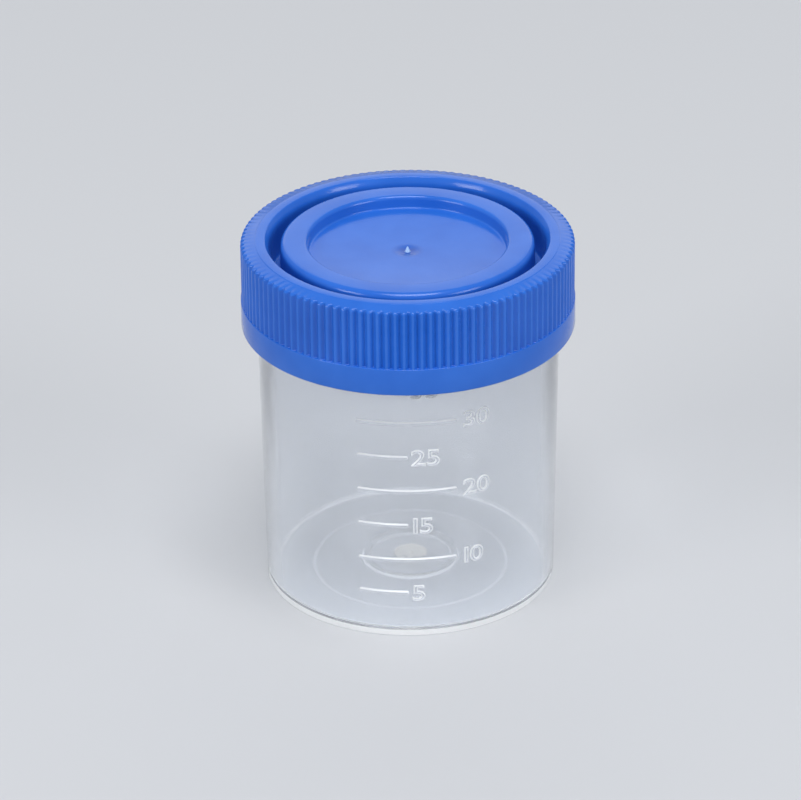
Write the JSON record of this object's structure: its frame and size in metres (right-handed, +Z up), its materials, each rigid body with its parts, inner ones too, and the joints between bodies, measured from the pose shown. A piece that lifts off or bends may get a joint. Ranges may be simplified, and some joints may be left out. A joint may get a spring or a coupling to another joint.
{
  "type": "specimen container",
  "caption": "Small tapered specimen container in translucent plastic, with raised graduations and a finely ribbed screw lid that seals with a plug.",
  "frame": {"origin": "centre of the foot, on the surface that the cup stands on", "axes": "+Z up the axis of the cup and lid; the graduations face -Y"},
  "size_m": [0.0423, 0.0424, 0.0473],
  "materials": {
    "cup_plastic": "translucent, slightly milky moulded polypropylene",
    "lid_plastic": "opaque blue, satin to gloss as moulded"
  },
  "bodies": {
    "cup": {"cup": "cup_plastic"},
    "lid": {"lid": "lid_plastic"}
  },
  "joints": [
    {"name": "lid_lift", "type": "slide", "parent": "cup", "child": "lid", "axis": [0, 0, 1], "range_m": [0, 0.02]}
  ]
}
